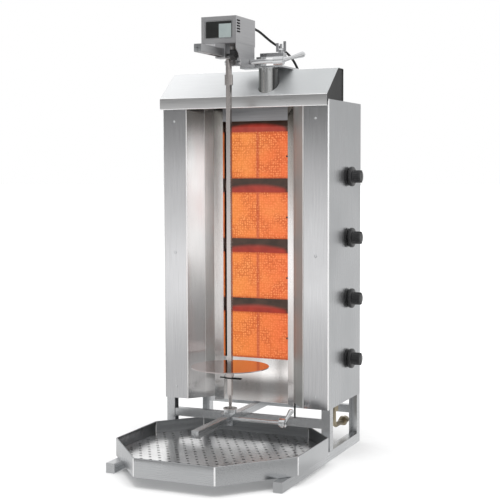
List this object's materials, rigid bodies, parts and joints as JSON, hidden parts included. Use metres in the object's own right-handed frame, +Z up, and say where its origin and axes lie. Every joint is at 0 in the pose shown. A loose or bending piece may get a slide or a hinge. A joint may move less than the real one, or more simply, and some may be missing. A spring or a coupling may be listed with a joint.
{
  "type": "vertical gas grill",
  "caption": "Free-standing vertical gas grill for doner and gyros: infrared burners in an angled steel recess, a motor-driven spit and an octagonal drip pan.",
  "frame": {"origin": "centre of the overall footprint, on the surface that the base rails stand on", "axes": "+Z up, -Y out of the front towards the cook, +X towards the side with the gas knobs"},
  "size_m": [0.538, 0.68, 1.162],
  "materials": {
    "brushed_panel": "brushed stainless sheet, fine vertical grain",
    "mirror_panel": "polished stainless reflector sheet, slightly heat tinted",
    "hood_steel": "satin stainless sheet",
    "dark_steel": "dark polished stainless",
    "frame_steel": "satin stainless channel",
    "inner_steel": "plain zinc-grey sheet inside the cabinet",
    "bright_steel": "polished stainless",
    "burner_casting": "heat-darkened cast and pressed steel",
    "deflector_steel": "heat-browned pressed steel",
    "ceramic": "glowing perforated ceramic",
    "brass": "dull brass",
    "black_plastic": "glossy black phenolic",
    "black_rubber": "black cable sheath",
    "black_metal": "black oxide steel",
    "motor_grey": "grey zinc-plated motor can"
  },
  "bodies": {
    "cabinet": {"base_rail_left": "frame_steel", "base_rail_right": "frame_steel", "front_uprights": "frame_steel", "rear_uprights": "frame_steel", "front_cross_bar": "frame_steel", "rear_cross_bar": "frame_steel", "side_panel_left": "brushed_panel", "side_panel_right": "brushed_panel", "front_panel_left": "brushed_panel", "front_panel_right": "brushed_panel", "reflector_left": "mirror_panel", "reflector_right": "mirror_panel", "burner_frame": "mirror_panel", "floor_panel": "inner_steel", "roof_panel": "brushed_panel", "heat_shield": "inner_steel", "rear_cover": "brushed_panel", "hood": "hood_steel", "hood_cheeks": "dark_steel", "burner_deflectors": "deflector_steel", "burner_boxes": "burner_casting", "ceramic_plates": "ceramic", "mixing_tubes": "inner_steel", "gas_manifold": "brass", "gas_valves": "brass", "knob_bezels": "black_plastic", "thermocouples": "black_metal", "gas_inlet": "brass", "pan_stop": "black_metal", "panel_screws": "bright_steel", "post": "bright_steel", "post_head": "bright_steel", "upper_arm": "bright_steel", "lower_arm": "bright_steel", "motor_cable": "black_rubber", "roof_gland": "black_rubber"},
    "motor_unit": {"motor_housing": "bright_steel", "motor_bracket": "bright_steel", "gear_motor": "motor_grey", "motor_gland": "black_rubber"},
    "spit": {"output_gear": "brass", "spit_rod": "bright_steel", "meat_disc": "bright_steel", "spring_clip": "black_metal"},
    "motor_rotor": {"motor_pinion": "brass"},
    "bearing_slide": {"bearing_block": "bright_steel"},
    "upper_lever": {"upper_clamp_lever": "bright_steel"},
    "lower_lever": {"lower_clamp_lever": "bright_steel"},
    "arm_screw": {"arm_knob": "black_plastic"},
    "levelling_screw": {"level_screw": "bright_steel"},
    "pan": {"drip_pan": "brushed_panel"},
    "tray": {"perforated_tray": "bright_steel"},
    "stem_1": {"valve_spindle_1": "bright_steel"},
    "knob_1": {"gas_knob_1": "black_plastic"},
    "stem_2": {"valve_spindle_2": "bright_steel"},
    "knob_2": {"gas_knob_2": "black_plastic"},
    "stem_3": {"valve_spindle_3": "bright_steel"},
    "knob_3": {"gas_knob_3": "black_plastic"},
    "stem_4": {"valve_spindle_4": "bright_steel"},
    "knob_4": {"gas_knob_4": "black_plastic"}
  },
  "joints": [
    {"name": "motor_slide", "type": "slide", "parent": "cabinet", "child": "motor_unit", "axis": [0, 1, 0], "range_m": [-0.09, 0.02], "deforming": ["motor_cable"]},
    {"name": "spit_spin", "type": "hinge", "parent": "motor_unit", "child": "spit", "pos_m": [-0.013, -0.012, 0.6], "axis": [0, 0, 1], "continuous": true},
    {"name": "rotor_spin", "type": "hinge", "parent": "motor_unit", "child": "motor_rotor", "pos_m": [-0.013, 0.024, 1.104], "axis": [0, 0, 1], "continuous": true},
    {"name": "bearing_slide_joint", "type": "slide", "parent": "cabinet", "child": "bearing_slide", "axis": [0, 1, 0], "range_m": [-0.09, 0.02]},
    {"name": "upper_lever_turn", "type": "hinge", "parent": "motor_unit", "child": "upper_lever", "pos_m": [-0.013, 0.016, 1.052], "axis": [1, 0, 0], "range_deg": [-60, 30]},
    {"name": "lower_lever_turn", "type": "hinge", "parent": "bearing_slide", "child": "lower_lever", "pos_m": [-0.013, -0.012, 0.116], "axis": [1, 0, 0], "range_deg": [-60, 30]},
    {"name": "arm_screw_turn", "type": "hinge", "parent": "motor_unit", "child": "arm_screw", "pos_m": [-0.013, -0.048, 1.066], "axis": [1, 0, 0], "range_deg": [-180, 180]},
    {"name": "levelling_screw_turn", "type": "hinge", "parent": "cabinet", "child": "levelling_screw", "pos_m": [0.089, 0.098, 1.079], "axis": [0, 0, 1], "range_deg": [-180, 180]},
    {"name": "pan_pull", "type": "slide", "parent": "cabinet", "child": "pan", "axis": [0, -1, 0], "range_m": [0, 0.25]},
    {"name": "tray_lift", "type": "slide", "parent": "pan", "child": "tray", "axis": [0, 0, 1], "range_m": [0, 0.04]},
    {"name": "knob_1_push", "type": "slide", "parent": "cabinet", "child": "stem_1", "axis": [-1, 0, 0], "range_m": [0, 0.003], "stiffness_N_per_m": 500},
    {"name": "knob_1_turn", "type": "hinge", "parent": "stem_1", "child": "knob_1", "pos_m": [0.247, 0.236, 0.7535], "axis": [1, 0, 0], "range_deg": [0, 180]},
    {"name": "knob_2_push", "type": "slide", "parent": "cabinet", "child": "stem_2", "axis": [-1, 0, 0], "range_m": [0, 0.003], "stiffness_N_per_m": 500},
    {"name": "knob_2_turn", "type": "hinge", "parent": "stem_2", "child": "knob_2", "pos_m": [0.247, 0.236, 0.587], "axis": [1, 0, 0], "range_deg": [0, 180]},
    {"name": "knob_3_push", "type": "slide", "parent": "cabinet", "child": "stem_3", "axis": [-1, 0, 0], "range_m": [0, 0.003], "stiffness_N_per_m": 500},
    {"name": "knob_3_turn", "type": "hinge", "parent": "stem_3", "child": "knob_3", "pos_m": [0.247, 0.236, 0.4205], "axis": [1, 0, 0], "range_deg": [0, 180]},
    {"name": "knob_4_push", "type": "slide", "parent": "cabinet", "child": "stem_4", "axis": [-1, 0, 0], "range_m": [0, 0.003], "stiffness_N_per_m": 500},
    {"name": "knob_4_turn", "type": "hinge", "parent": "stem_4", "child": "knob_4", "pos_m": [0.247, 0.236, 0.254], "axis": [1, 0, 0], "range_deg": [0, 180]}
  ],
  "couplings": [
    {"joint": "rotor_spin", "follows": "spit_spin", "ratio": -5},
    {"joint": "bearing_slide_joint", "follows": "motor_slide", "ratio": 1}
  ]
}
